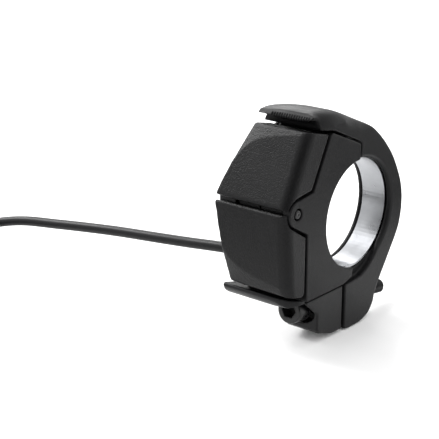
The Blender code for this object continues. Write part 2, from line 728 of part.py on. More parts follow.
def make_plug():
    """The plug lies beside the coil, on the tangent where the lead leaves its top layer."""
    top_z = COIL_FLOOR + LEAD_RADIUS + COIL_LAYER
    leave = Vector(around_coil(PLUG_ANGLE, COIL_OUTER, top_z))
    heading = Vector(around_coil(PLUG_ANGLE + 90.0, 1.0, 0.0)) - Vector((*COIL_CENTRE, 0.0))
    start = leave + heading * PLUG_START + Vector((0, 0, -0.3))
    end = start + heading * 15.0
    profile = [
        (0, 15.0), (1.8, 15.0), (1.8, 11.6), (2.55, 11.6), (2.55, 7.2), (2.3, 6.6), (1.5, 0.3),
        (1.35, 0.0), (0, 0),
    ]
    finish(turned("lead_plug", profile, start, end, 28), SOFT_PLASTIC)


def build():
    make_paddles()
    make_side_cover()
    make_far_cover()
    make_housing()
    make_guard_lip()
    make_clamp_base()
    make_clamp_ring()
    make_liner("ring_liner", -107, 88, *LINER_X, origin=(0, *HINGE))
    make_liner("base_liner", 97, 246, LINER_X[0], COVER_X - SEAM - 0.1)
    make_hardware()
    for which in STACKS:
        make_stack(which)
    make_case_screws()
    make_gland()
    make_lead()
    make_coil()
    make_plug()


build()
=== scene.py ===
"""The looks of the thumb shifter: moulded black shells, bright bore strips, a black screw and a thin lead."""

import json
import math

import bmesh
import bpy
import numpy as np
from mathutils import Matrix, Vector


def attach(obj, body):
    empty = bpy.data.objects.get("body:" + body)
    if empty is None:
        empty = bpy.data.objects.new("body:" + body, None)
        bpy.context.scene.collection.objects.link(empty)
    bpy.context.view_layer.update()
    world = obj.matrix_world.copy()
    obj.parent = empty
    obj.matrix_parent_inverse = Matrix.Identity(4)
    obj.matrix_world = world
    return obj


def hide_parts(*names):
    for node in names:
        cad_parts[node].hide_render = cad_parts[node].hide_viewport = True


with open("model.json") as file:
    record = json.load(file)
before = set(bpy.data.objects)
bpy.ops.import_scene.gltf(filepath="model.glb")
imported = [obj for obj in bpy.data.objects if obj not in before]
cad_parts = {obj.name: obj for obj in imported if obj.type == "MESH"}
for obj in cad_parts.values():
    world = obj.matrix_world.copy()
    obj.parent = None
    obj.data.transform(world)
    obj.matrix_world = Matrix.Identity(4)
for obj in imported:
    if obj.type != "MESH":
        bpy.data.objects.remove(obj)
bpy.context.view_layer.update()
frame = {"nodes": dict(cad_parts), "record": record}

MM = 0.001

# Camera: the bore is seen from its open side, a little from the front and above
CAMERA_PLACE = (140.35, -205.89, 82.27)
CAMERA_AZIMUTH = 40.0
CAMERA_ELEVATION = 18.8
CAMERA_LENS = 106.6
SENSOR = 36.0
FLOOR_Z = -24.05

# Studio: each light's place and side in metres and its power, then the plain white world
KEY_LIGHT = ((-0.80, -0.08, 0.60), 0.4, 10.0)
RIM_LIGHT = ((-0.62, 0.66, 0.42), 0.4, 2.5)
WORLD_STRENGTH = 1.35

# Black cards, in metres: distance, azimuths and heights of the curved ones, x and y limits of the flat ones
CURVED_CARDS = [(0.1, 15, 80, -0.0235, 0.1), (0.16, 205, 236, 0.004, 0.062)]
FLOOR_CARDS = [(-0.08, -0.012, -0.115, -0.05), (0.015, 0.12, 0.055, 0.16)]

# Lead: the route's points and the coil, as in the part's source
LEAD_RADIUS = 1.15
LEAD_EXIT = (-19.2, -13.0, -9.12)
LEAD_INSIDE = (-16.5, -13.0, -8.97)
LEAD_ROUTE = [
    (-19.5, -13.0, -9.15), (-24.0, -13.0, -9.65), (-30.0, -13.1, -10.35), (-38.5, -13.3, -11.2),
    (-50.0, -13.6, -12.3), (-60.0, -14.1, -13.4), (-69.0, -14.6, -14.5), (-78.0, -15.2, -15.6),
    (-85.0, -15.9, -17.1), (-91.5, -17.0, -19.1), (-97.8, -18.5, -21.2),
]
COIL_CENTRE = (-100.8, -33.4)
COIL_ENTRY_ANGLE = 103.0
COIL_INNER = 11.3
COIL_OUTER = 13.7
COIL_FLOOR = -23.4
COIL_LAYER = 2.35
PLUG_ANGLE = 265.0
PLUG_START = 9.4
PLUG_DROP = 0.3

# Strain relief, from its root in the far cover
GLAND_ROOT = (-9.2, -13.0, -8.7)

# Paddles: the pin's (y, z), the gap round its boss, the ends along the bar and the far side's lean
PIN = (-20.5, 4.96)
PIN_X = (-13.05, 4.0)
HUB_RADIUS = 2.0
BOSS_GAP = 3.1
PADDLE_FAR_X = -13.5
SIDE_X = 4.0
FAR_RIM = 0.6
NEAR_RIM = 0.45
WIDEST_Z = 6.0
TAPER_UP = 0.27
TAPER_DOWN = 0.147
TIP_ROUNDS = 20

# A lip on the housing runs in a groove down each paddle's back, so that no light or dirt gets past
GROOVE_X = (0.9, 2.35)
LIP_X = (1.2, 2.05)
UPPER_LIP = [(-10.7, 17.2), (-11.95, 17.75), (-16.6, 8.9), (-19.0, 8.45), (-18.9, 7.0), (-14.5, 7.0)]
LOWER_LIP = [(-16.7, -12.0), (-18.5, -12.0), (-18.5, -0.7), (-19.8, 0.12), (-19.8, 1.4), (-16.7, 1.0)]

# Each paddle: outline corners as (y, z, radius), groove corners, angles of the hollow round the boss,
# hub, web, radius of the front's near edge, slope and reach of the facet, its crease (see crease_height)
PADDLES = {
    "upper_paddle": {
        "corners": [
            (-24.4, 6.15, 0.6), (-17.4, 20.0, 0.4), (-11.2, 18.55, 0.3), (-16.3, 8.75, 0.5),
            (-21.2, 8.1, 0.1),
        ],
        "groove": [(-12.42, 18.6, 0), (-17.3, 9.55, 0), (-21.0, 9.05, 0)],
        "hollow": (104, 157),
        "hub_x": (-8.8, -3.58),
        "web": [(-21.3, 4.96), (-19.5, 4.96), (-19.5, 9.2), (-21.3, 9.2)],
        "web_x": (-8.7, -3.62),
        "edge_radius": 2.1,
        "slope": 0.20,
        "reach": 4.5,
        "crease": (-11.4, 13.0, 7.2, 5.4, 6.0, 2.1),
    },
    "lower_paddle": {
        "corners": [(-24.45, 5.55, 0.7), (-23.25, -11.1, 0.7), (-18.0, -12.55, 1.0), (-17.95, -0.25, 0.3)],
        "groove": [(-19.3, -12.2, 0), (-19.3, -1.0, 0), (-22.6, 1.2, 0)],
        "hollow": (232, 171),
        "hub_x": (-3.42, 1.8),
        "web": [(-22.0, 0.2), (-20.2, 0.2), (-20.2, 4.96), (-22.0, 4.96)],
        "web_x": (-3.38, 1.7),
        "edge_radius": 2.3,
        "slope": 0.18,
        "reach": 3.5,
        "crease": (-12.4, 14.5, 9.0, 4.6, 4.5, 1.6),
    },
}

# Nose: its top, the slanted band across its front with the ribs, and the block under it
NOSE_TOP = 22.2
NOSE_CROWN = 0.75
NOSE_CROWN_X = (-13.0, -3.5)
BAND_FOOT = (-14.75, 21.4)
BAND_NORMAL = (-math.sin(math.radians(42)), math.cos(math.radians(42)))
RIB_COUNT = 16
RIB_X = (-7.2, 1.5)
RIB_Y = -14.4
RIB_SIZE = (0.19, 0.32, 0.62)
RIB_TILT = -0.6
BAND_ROUNDS = 6
FILLER_X = -8.9
CORNER_ROUNDS = 520

# Ring bore at the near side face, and the radius of the edge between them
RING_BORE = 11.25
BORE_EDGE = 0.95

# Clamp bolt, as in the part's source
BOLT_X = -0.2
BOLT_HEAD = (-17.4, -16.4)
BOLT_TILT = math.radians(-8.0)

# Its cut thread, measured from the face of the head, and the flare of the counterbore's mouth
THREAD_ALONG = (12.0, 32.3)
THREAD_RADIUS = 1.49
THREAD_PITCH = 0.5
THREAD_DEPTH = 0.2
BORE_FLARE = 0.42
MOUTH_ROUNDS = 40

# Hexagonal recess in a case screw's head: half its flats, and its depth
RECESS_HALF_FLATS = 0.4
RECESS_DEPTH = 0.3

# Size of a skin's cells, rounds of easing that take the cells' steps away, segments in a rounded corner
FINE = 0.15
EASE_ROUNDS = 3
SEGMENTS = 6


# ---------------------------------------------------------------- materials

def new_material(name):
    material = bpy.data.materials.new(name)
    material.use_nodes = True
    tree = material.node_tree
    return material, tree, tree.nodes["Principled BSDF"]


def noise(tree, scale, detail, vector):
    node = tree.nodes.new("ShaderNodeTexNoise")
    node.inputs["Scale"].default_value = scale
    node.inputs["Detail"].default_value = detail
    tree.links.new(vector, node.inputs["Vector"])
    return node.outputs["Fac"]


def ramp(tree, source, low, high):
    """Map 0..1 to a range of numbers or of colours."""
    if isinstance(low, tuple):
        node = tree.nodes.new("ShaderNodeMix")
        node.data_type = "RGBA"
        node.inputs["A"].default_value = (*low, 1.0)
        node.inputs["B"].default_value = (*high, 1.0)
        tree.links.new(source, node.inputs["Factor"])
        return node.outputs["Result"]
    node = tree.nodes.new("ShaderNodeMapRange")
    node.inputs["From Min"].default_value = 0.3
    node.inputs["From Max"].default_value = 0.7
    node.inputs["To Min"].default_value = low
    node.inputs["To Max"].default_value = high
    tree.links.new(source, node.inputs["Value"])
    return node.outputs["Result"]


def bump(tree, shader, height, strength, distance):
    node = tree.nodes.new("ShaderNodeBump")
    node.inputs["Strength"].default_value = strength
    node.inputs["Distance"].default_value = distance
    tree.links.new(height, node.inputs["Height"])
    tree.links.new(node.outputs["Normal"], shader.inputs["Normal"])


def object_space(tree):
    return tree.nodes.new("ShaderNodeTexCoord").outputs["Object"]


def moulded(name, dark, light, rough, grain=0.28, strength=0.4, gloss=0.16):
    """Black moulding with a spark-eroded grain of that size in millimetres."""
    material, tree, shader = new_material(name)
    place = object_space(tree)
    fine = noise(tree, 1 / (grain * MM), 3.0, place)
    broad = noise(tree, 1 / (7.0 * MM), 4.0, place)
    tree.links.new(ramp(tree, broad, dark, light), shader.inputs["Base Color"])
    tree.links.new(ramp(tree, broad, rough - 0.04, rough + 0.05), shader.inputs["Roughness"])
    shader.inputs["Specular IOR Level"].default_value = gloss
    bump(tree, shader, fine, strength, 0.15 * MM)
    return material


BLACK = (0.004, 0.004, 0.0044)
SOFT_BLACK = (0.005, 0.005, 0.0055)
WORN_BLACK = (0.007, 0.007, 0.0075)
DUSTY_BLACK = (0.008, 0.008, 0.0085)

MATERIALS = {
    "housing_plastic": moulded("housing_plastic", BLACK, (0.0065, 0.0065, 0.007), 0.42),
    "paddle_plastic": moulded(
        "paddle_plastic", (0.003, 0.003, 0.0033), (0.005, 0.005, 0.0054), 0.37, grain=0.27, strength=0.75,
    ),
    "plug_plastic": moulded("plug_plastic", SOFT_BLACK, DUSTY_BLACK, 0.45),
    "black_alloy": moulded("black_alloy", BLACK, WORN_BLACK, 0.38, grain=0.2, strength=0.35, gloss=0.2),
    "black_steel": moulded("black_steel", BLACK, WORN_BLACK, 0.3, grain=0.12, strength=0.2, gloss=0.35),
    "lead_rubber": moulded("lead_rubber", SOFT_BLACK, DUSTY_BLACK, 0.38, grain=0.2, strength=0.3, gloss=0.14),
    "key_rubber": moulded("key_rubber", (0.010, 0.010, 0.010), (0.014, 0.014, 0.014), 0.6),
    "switch_body": moulded("switch_body", (0.03, 0.03, 0.03), (0.04, 0.04, 0.04), 0.5),
    "board_laminate": moulded("board_laminate", (0.01, 0.08, 0.03), (0.02, 0.11, 0.05), 0.4),
}


def bright_steel(name, rough):
    material, tree, shader = new_material(name)
    place = object_space(tree)
    cloud = noise(tree, 1 / (5.0 * MM), 5.0, place)
    tree.links.new(ramp(tree, cloud, (0.22, 0.225, 0.235), (0.54, 0.55, 0.57)), shader.inputs["Base Color"])
    tree.links.new(ramp(tree, cloud, rough - 0.05, rough + 0.1), shader.inputs["Roughness"])
    shader.inputs["Metallic"].default_value = 1.0
    bump(tree, shader, noise(tree, 1 / (0.35 * MM), 2.0, place), 0.15, 0.02 * MM)
    return material


MATERIALS["bore_steel"] = bright_steel("bore_steel", 0.3)
MATERIALS["zinc_steel"] = bright_steel("zinc_steel", 0.35)


def dress_cad_nodes():
    """Give every CAD node the material of its slot."""
    slots = {part["node"]: part["material_slot"] for part in frame["record"]["subparts"]}
    for name, node in frame["nodes"].items():
        node.data.materials.clear()
        node.data.materials.append(MATERIALS[slots[name]])


# ---------------------------------------------------------------- mesh tools

def arc(centre, radius, start, end, count):
    """Points on a circle in the side view, angles in degrees from +Y towards +Z."""
    angles = [math.radians(start + (end - start) * i / (count - 1)) for i in range(count)]
    return [(centre[0] + radius * math.cos(a), centre[1] + radius * math.sin(a)) for a in angles]


def filleted(corners):
    """Round each (y, z, radius) corner of a closed outline."""
    out = []
    count = len(corners)
    for i, (y, z, radius) in enumerate(corners):
        here = Vector((y, z))
        back = (Vector(corners[i - 1][:2]) - here).normalized()
        ahead = (Vector(corners[(i + 1) % count][:2]) - here).normalized()
        if radius == 0:
            out.append((y, z))
            continue
        half = back.angle(ahead) / 2
        reach = radius / math.tan(half)
        middle = here + (back + ahead).normalized() * (radius / math.sin(half))
        first, last = here + back * reach - middle, here + ahead * reach - middle
        sweep = first.angle_signed(last)
        for step in range(SEGMENTS + 1):
            turned = first.copy()
            turned.rotate(Matrix.Rotation(-sweep * step / SEGMENTS, 2))
            out.append(tuple(middle + turned))
    return out


def prism(outline, x_low, x_high, near_round=0.0, far_round=0.0):
    """A bmesh of a side-view outline given thickness along the bar, its two end rims rounded."""
    work = bmesh.new()
    lower = [work.verts.new((x_low, y, z)) for y, z in outline]
    upper = [work.verts.new((x_high, y, z)) for y, z in outline]
    count = len(outline)
    work.faces.new(lower)
    work.faces.new(upper)
    for i in range(count):
        j = (i + 1) % count
        work.faces.new((lower[i], lower[j], upper[j], upper[i]))
    bmesh.ops.recalc_face_normals(work, faces=work.faces)
    for x, radius in ((x_high, near_round), (x_low, far_round)):
        if radius > 0:
            rim = [e for e in work.edges if all(abs(v.co.x - x) < 1e-6 for v in e.verts)]
            bmesh.ops.bevel(
                work, geom=rim, offset=radius, segments=SEGMENTS, profile=0.5, affect="EDGES",
                clamp_overlap=True,
            )
    return work


def bar(start, end, radius, sides=32):
    """A bmesh of a round bar between two points."""
    work = bmesh.new()
    direction = Vector(end) - Vector(start)
    bmesh.ops.create_cone(
        work, cap_ends=True, segments=sides, depth=direction.length, radius1=radius, radius2=radius,
    )
    turn = direction.to_track_quat("Z", "Y").to_matrix().to_4x4()
    middle = Matrix.Translation((Vector(start) + Vector(end)) / 2)
    bmesh.ops.transform(work, matrix=middle @ turn, verts=work.verts)
    return work


def cad_copy(node):
    """A bmesh of a CAD node in millimetres, welded."""
    work = bmesh.new()
    work.from_mesh(frame["nodes"][node].data)
    bmesh.ops.remove_doubles(work, verts=work.verts, dist=1e-7)
    bmesh.ops.scale(work, vec=(1 / MM,) * 3, verts=work.verts)
    return work


def new_object(name, data):
    obj = bpy.data.objects.new(name, data)
    bpy.context.scene.collection.objects.link(obj)
    return obj


def as_plain_mesh(name, work):
    mesh = bpy.data.meshes.new(name)
    work.to_mesh(mesh)
    work.free()
    return mesh


def add_to(whole, work):
    """Move a bmesh's faces into another."""
    mesh = as_plain_mesh("part", work)
    whole.from_mesh(mesh)
    bpy.data.meshes.remove(mesh)


def merged(name, works, voxel):
    """One even skin round all the solids, as a mesh in millimetres."""
    mesh = bpy.data.meshes.new(name)
    whole = bmesh.new()
    for work in works:
        part = bpy.data.meshes.new("part")
        work.to_mesh(part)
        whole.from_mesh(part)
        bpy.data.meshes.remove(part)
        work.free()
    whole.to_mesh(mesh)
    whole.free()
    obj = new_object(name + "_cage", mesh)
    remesh = obj.modifiers.new("Remesh", "REMESH")
    remesh.mode = "VOXEL"
    remesh.voxel_size = voxel
    bpy.context.view_layer.update()
    skin = bpy.data.meshes.new_from_object(obj.evaluated_get(bpy.context.evaluated_depsgraph_get()))
    bpy.data.objects.remove(obj, do_unlink=True)
    return skin


def points_of(mesh):
    points = np.empty(len(mesh.vertices) * 3)
    mesh.vertices.foreach_get("co", points)
    return points.reshape(-1, 3)


def set_points(mesh, points):
    mesh.vertices.foreach_set("co", np.ascontiguousarray(points).ravel())
    mesh.update()


def relax(mesh, rounds, weight=None):
    """Ease the skin's points towards their neighbours; weight(points) gives each point's share."""
    points = points_of(mesh)
    edges = np.empty(len(mesh.edges) * 2, dtype=np.int64)
    mesh.edges.foreach_get("vertices", edges)
    a, b = edges.reshape(-1, 2).T
    count = np.bincount(np.concatenate([a, b]), minlength=len(points)).clip(1)
    share = np.full(len(points), 0.5) if weight is None else 0.5 * np.clip(weight(points), 0, 1)
    for _ in range(rounds):
        mean = np.empty_like(points)
        for axis in range(3):
            from_b = np.bincount(a, points[b, axis], len(points))
            from_a = np.bincount(b, points[a, axis], len(points))
            mean[:, axis] = (from_b + from_a) / count
        points += (mean - points) * share[:, None]
    set_points(mesh, points)


def rise(value, low, high):
    """0 below low, 1 above high, smooth between."""
    t = np.clip((value - low) / (high - low), 0, 1)
    return t * t * (3 - 2 * t)


def round_over(mesh, measure, radius):
    """Round an edge: measure(points) gives each point's depth from its two faces and their inward normals."""
    points = points_of(mesh)
    a, b, inward_a, inward_b = measure(points)
    p, q = np.clip(radius - a, 0, None), np.clip(radius - b, 0, None)
    reach = np.hypot(p, q)
    pull = np.where(reach > radius, 1 - radius / np.maximum(reach, 1e-9), 0)
    points += (pull * p)[:, None] * np.array(inward_a) + (pull * q)[:, None] * np.array(inward_b)
    set_points(mesh, points)


def taper_far_side(mesh):
    """Lean the far end in towards the top and the bottom."""
    points = points_of(mesh)
    height = points[:, 2] - WIDEST_Z
    lean = np.where(height > 0, TAPER_UP * height, -TAPER_DOWN * height)
    points[:, 0] += lean * (1 - rise(points[:, 0], PADDLE_FAR_X + 0.8, PADDLE_FAR_X + 5.0))
    set_points(mesh, points)


def show(name, mesh, body, nodes, slot):
    """Put a millimetre mesh in the scene for these CAD nodes."""
    mesh.transform(Matrix.Scale(MM, 4))
    mesh.name = name
    mesh.materials.clear()
    mesh.materials.append(MATERIALS[slot])
    mesh.shade_smooth()
    obj = new_object(name, mesh)
    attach(obj, body)
    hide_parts(*nodes)
    return obj


# ---------------------------------------------------------------- paddles

def front_frame(corners):
    """The front face's foot, its direction upwards and its outward normal, in the side view."""
    foot, head = Vector(corners[0][:2]), Vector(corners[1][:2])
    up = (head - foot).normalized()
    normal = Vector((-abs(up.y), up.x if up.y > 0 else -up.x))
    return foot, up, normal


def carve_facet(mesh, foot, up, normal, end_face, depth_of, thickness):
    """Shave the front face depth_of(x, height up the face) deep. The end face next to it stays flat."""
    points = points_of(mesh)
    side = points[:, 1:3] - np.array(foot)
    height = side @ np.array(up)
    behind = -(side @ np.array(normal))
    slide = (Vector(end_face[1][:2]) - Vector(end_face[0][:2])).normalized()
    amount = depth_of(points[:, 0], height) * (1 - rise(behind, 0.5, thickness)) / -slide.dot(normal)
    points[:, 1:3] += amount[:, None] * np.array(slide)
    set_points(mesh, points)


def round_front_edge(mesh, foot, normal, radius):
    """Round the front face over towards the near side, where the thumb rolls off it."""

    def measure(points):
        behind = -((points[:, 1:3] - np.array(foot)) @ np.array(normal))
        return SIDE_X - points[:, 0], behind, (-1, 0, 0), (0, -normal[0], -normal[1])

    round_over(mesh, measure, radius)


def paddle_slabs(corners, grooved):
    """The paddle's body in three slabs; the one in the middle leaves a groove down the back."""
    low, high = GROOVE_X
    return [
        prism(filleted(corners), PADDLE_FAR_X, low, far_round=FAR_RIM),
        prism(filleted(grooved), low - 0.3, high + 0.3),
        prism(filleted(corners), high, SIDE_X, near_round=NEAR_RIM),
    ]


def far_tip(points):
    """Rounder where the two paddles meet on the far side."""
    x, y, z = points.T
    return (1 - rise(x, -12.6, -11.0)) * (1 - rise(abs(z - PIN[1]), 2.2, 4.0)) * rise(-y, 21.8, 22.8)


def crease_height(x, shape):
    """Height up the front face at which the facet begins: quick to change by the far edge, then level."""
    far, width, start, change, quickness, slope = shape
    along = np.clip((x - far) / width, 0, None)
    return start + change * (1 - np.exp(-along * quickness)) + slope * along


def make_paddle(node, shape):
    """A wedge paddle: slabs with a hollow round the pin's boss, a hub on the pin and a web between."""
    corners = shape["corners"]
    hollow = [(y, z, 0) for y, z in arc(PIN, BOSS_GAP, *shape["hollow"], 10)]
    slabs = paddle_slabs(corners + hollow, corners[:2] + shape["groove"] + hollow)
    hub = bar(*((x, *PIN) for x in shape["hub_x"]), HUB_RADIUS)
    web = prism(shape["web"], *shape["web_x"])
    mesh = merged(node + "_shell", slabs + [hub, web], FINE)
    taper_far_side(mesh)
    foot, up, normal = front_frame(corners)

    def depth(x, height):
        return shape["slope"] * np.clip(height - crease_height(x, shape["crease"]), 0, None)

    round_front_edge(mesh, foot, normal, shape["edge_radius"])
    carve_facet(mesh, foot, up, normal, corners[1:3], depth, shape["reach"])
    relax(mesh, EASE_ROUNDS)
    relax(mesh, TIP_ROUNDS, far_tip)
    show(node + "_shell", mesh, node, [node], "paddle_plastic")


# ---------------------------------------------------------------- shells and clamp

def make_shell(node, body, slot, voxel, rounds, more=()):
    """A CAD node, with what else belongs to it, in one skin with eased edges."""
    mesh = merged(node + "_shell", [cad_copy(node), *more], voxel)
    relax(mesh, rounds)
    return show(node + "_shell", mesh, body, [node], slot)


def nose_weight(points):
    """Rounder over the nose's near corner and along the ring's outer rim beside it."""
    x, y, z = points.T
    under = rise(-y, 3.0, 6.0) * (1 - rise(z, 20.0, 20.9))
    hinge = rise(-y, -1.0, 1.5) * (1 - rise(z, 17.8, 19.2))
    beside = rise(x, 0.2, 2.4) * rise(z, 15.0, 19.5)
    return beside * rise(-y, -4.0, 3.0) * (1 - rise(-y, 13.0, 14.2)) * (1 - under) * (1 - hinge)


def bolt_point(distance):
    """A point on the bolt's axis, so far behind the face of its head."""
    y, z = BOLT_HEAD
    return Vector((BOLT_X, y + distance * math.cos(BOLT_TILT), z + distance * math.sin(BOLT_TILT)))


def bolt_axis(points):
    """How far along the bolt each point is, and its offset from the bolt's axis."""
    from_head = points - np.array(bolt_point(0))
    heading = np.array(bolt_point(1) - bolt_point(0))
    along = from_head @ heading
    return along, from_head - along[:, None] * heading


def lug_weight(points):
    """Rounder at the counterbore's rim."""
    along, offset = bolt_axis(points)
    away = np.linalg.norm(offset, axis=1)
    return rise(away, 2.6, 3.0) * (1 - rise(away, 3.9, 4.3)) * (1 - rise(along, 4.0, 6.0))


def make_base():
    """The clamp base, its counterbore flared and eased at the mouth."""
    mesh = merged("clamp_base_shell", [cad_copy("clamp_base")], FINE)
    relax(mesh, EASE_ROUNDS)
    points = points_of(mesh)
    along, offset = bolt_axis(points)
    away = np.linalg.norm(offset, axis=1)
    flare = BORE_FLARE * (1 - rise(along, 1.5, 6.0)) * rise(away, 2.0, 3.0) * (1 - rise(away, 3.2, 3.9))
    set_points(mesh, points + offset * (flare / np.maximum(away, 1.0))[:, None])
    relax(mesh, MOUTH_ROUNDS, lug_weight)
    show("clamp_base_shell", mesh, "housing", ["clamp_base"], "black_alloy")


def band_weight(points):
    """Softer along the slanted band and its edges."""
    x, y, z = points.T
    return rise(-y, 11.0, 12.0) * rise(z, 20.0, 20.6)


def nose_crown(x, y, z):
    """Let the nose's top fall towards its far end."""
    share = rise(-y, 1.0, 9.0) * rise(z, 20.0, 22.0)
    return z - NOSE_CROWN * (1 - rise(x, *NOSE_CROWN_X)) * share


def nose_depth(x):
    """How deep the nose's front band is, as a share of its depth in the middle."""
    return 0.4 + 0.6 * rise(x, -11.0, -4.5) * (1 - 0.6 * rise(x, -1.5, 3.2))


def nose_height(x, y, z):
    """Lift the underside of the front band towards its two ends."""
    share = rise(-y, 12.5, 13.3) * rise(z, 19.4, 20.2)
    lifted = NOSE_TOP - (NOSE_TOP - z) * nose_depth(x)
    return np.where(z < NOSE_TOP, z + (lifted - z) * share, z)


def filler_end(x, y, z):
    """Draw the far end of the block under the nose in towards the middle."""
    share = rise(-y, 8.8, 10.2) * (1 - rise(z, 20.2, 21.0)) * rise(z, 17.5, 18.5)
    end = FILLER_X - 1.3 * np.clip(20.4 - z, 0, 1.5)
    return np.where(x < end, x + (end - x) * 0.8 * share, x)


def bore_edge(points):
    """Depths and inward normals for the ring's near side face and its bore."""
    side = points[:, 1:3]
    radius = np.hypot(*side.T)
    outward = np.zeros_like(points)
    outward[:, 1:3] = side / radius[:, None]
    return SIDE_X - points[:, 0], radius - RING_BORE, (-1, 0, 0), outward


def nose_rib(x):
    """A bmesh of one rib, a slim bead leaning with the band."""
    rib = bmesh.new()
    width, thickness, height = RIB_SIZE
    bmesh.ops.create_uvsphere(rib, u_segments=10, v_segments=8, radius=1.0)
    bmesh.ops.scale(rib, vec=(width, thickness, height * nose_depth(x)), verts=rib.verts)
    bmesh.ops.rotate(rib, matrix=Matrix.Rotation(RIB_TILT, 3, "X"), verts=rib.verts)
    top = NOSE_TOP - 0.55 * (1 - rise(x, *NOSE_CROWN_X))
    bmesh.ops.translate(rib, vec=(x, RIB_Y, top - 0.68 * nose_depth(x)), verts=rib.verts)
    return rib


def make_ring():
    """The clamp ring, its nose eased over at the near corner and ribbed along the front for the thumb."""
    mesh = merged("clamp_ring_shell", [cad_copy("clamp_ring")], 0.17)
    relax(mesh, EASE_ROUNDS)
    relax(mesh, CORNER_ROUNDS, nose_weight)
    round_over(mesh, bore_edge, BORE_EDGE)
    points = points_of(mesh)
    points[:, 0] = filler_end(*points.T)
    out = np.clip((points[:, 1:3] - np.array(BAND_FOOT)) @ np.array(BAND_NORMAL), 0, None)
    points[:, 1:3] -= out[:, None] * np.array(BAND_NORMAL)
    points[:, 2] = nose_height(*points.T)
    points[:, 2] = nose_crown(*points.T)
    set_points(mesh, points)
    relax(mesh, BAND_ROUNDS, band_weight)
    whole = bmesh.new()
    whole.from_mesh(mesh)
    for i in range(RIB_COUNT):
        add_to(whole, nose_rib(RIB_X[0] + (RIB_X[1] - RIB_X[0]) * i / (RIB_COUNT - 1)))
    show("clamp_ring_shell", as_plain_mesh("ring", whole), "ring", ["clamp_ring"], "housing_plastic")


def make_shells():
    """The housing's shells, then the clamp."""
    make_shell("side_cover", "housing", "housing_plastic", 0.13, 2)
    make_shell("far_cover", "housing", "housing_plastic", 0.16, 3)
    lips = [prism(UPPER_LIP, *LIP_X), prism(LOWER_LIP, *LIP_X)]
    make_shell("housing_body", "housing", "housing_plastic", 0.16, 2, more=lips)
    make_shell("guard_lip", "housing", "housing_plastic", 0.12, 14)
    make_base()
    make_ring()


def lathe(profile, sides=40):
    """A bmesh turned about Z from (radius, z) points that begin and end on the axis.

    A point with a third value is a hexagon, its radius the distance to a flat.
    """
    work = bmesh.new()
    rings = []
    for radius, z, *hexagon in profile:
        if radius == 0:
            rings.append([work.verts.new((0, 0, z))])
            continue
        ring = []
        for i in range(sides):
            angle = 2 * math.pi * i / sides
            away = radius / math.cos(angle % (math.pi / 3) - math.pi / 6) if hexagon else radius
            ring.append(work.verts.new((away * math.cos(angle), away * math.sin(angle), z)))
        rings.append(ring)
    for low, high in zip(rings, rings[1:]):
        for i in range(sides):
            j = (i + 1) % sides
            corners = [low[i % len(low)], low[j % len(low)], high[j % len(high)], high[i % len(high)]]
            work.faces.new(list(dict.fromkeys(corners)))
    bmesh.ops.recalc_face_normals(work, faces=work.faces)
    return work


def placed(work, start, end):
    """Stand a turned piece with its Z from start towards end."""
    turn = (Vector(end) - Vector(start)).to_track_quat("Z", "Y").to_matrix().to_4x4()
    bmesh.ops.transform(work, matrix=Matrix.Translation(Vector(start)) @ turn, verts=work.verts)
    return work


def make_case_screws():
    """The two long case screws, with a hexagonal recess in each head."""
    for label in ("upper", "lower"):
        node = "case_screw_" + label
        work = cad_copy(node)
        bmesh.ops.dissolve_limit(work, angle_limit=0.02, verts=work.verts, edges=work.edges)
        far = min(v.co.x for v in work.verts)
        head = [f for f in work.faces if all(abs(v.co.x - far) < 1e-3 for v in f.verts)]
        middle = head[0].calc_center_median()
        bmesh.ops.inset_individual(work, faces=head, thickness=0.3)
        for vert in head[0].verts:
            away = vert.co - middle
            turn = math.atan2(away.z, away.y) % (math.pi / 3) - math.pi / 6
            vert.co = middle + away.normalized() * (RECESS_HALF_FLATS / math.cos(turn))
        bmesh.ops.inset_individual(work, faces=head, thickness=0.001, depth=-RECESS_DEPTH)
        obj = show(node + "_turned", as_plain_mesh(node, work), "housing", [node], "zinc_steel")
        obj.data.set_sharp_from_angle(angle=math.radians(35))


def make_pin():
    """The pivot pin, with rounded ends and a turning centre in each."""
    length = PIN_X[1] - PIN_X[0]
    end = [(0, 0.2), (0.1, 0.16), (0.24, 0.0), (0.6, 0.0), (0.78, 0.07), (0.88, 0.22)]
    profile = end + [(r, length - z) for r, z in reversed(end)]
    work = placed(lathe(profile, 48), (PIN_X[0], *PIN), (PIN_X[1], *PIN))
    show("pivot_pin_turned", as_plain_mesh("pin", work), "housing", ["paddle_pivot_pin"], "black_steel")


def thread(start, end, radius, pitch, depth, sides=24):
    """A screw thread about Z: the radius rises and falls once a pitch, shifted by one pitch a turn."""
    rows = int((end - start) / pitch * 6)
    work = bmesh.new()
    rings = []
    for row in range(rows + 1):
        z = start + (end - start) * row / rows
        ring = []
        for i in range(sides):
            phase = (z / pitch - i / sides) % 1.0
            r = radius - depth * min(1.0, 2.4 * abs(phase - 0.5))
            angle = 2 * math.pi * i / sides
            ring.append(work.verts.new((r * math.cos(angle), r * math.sin(angle), z)))
        rings.append(ring)
    for low, high in zip(rings, rings[1:]):
        for i in range(sides):
            j = (i + 1) % sides
            work.faces.new((low[i], low[j], high[j], high[i]))
    work.faces.new(list(reversed(rings[0])))
    work.faces.new(rings[-1])
    return work


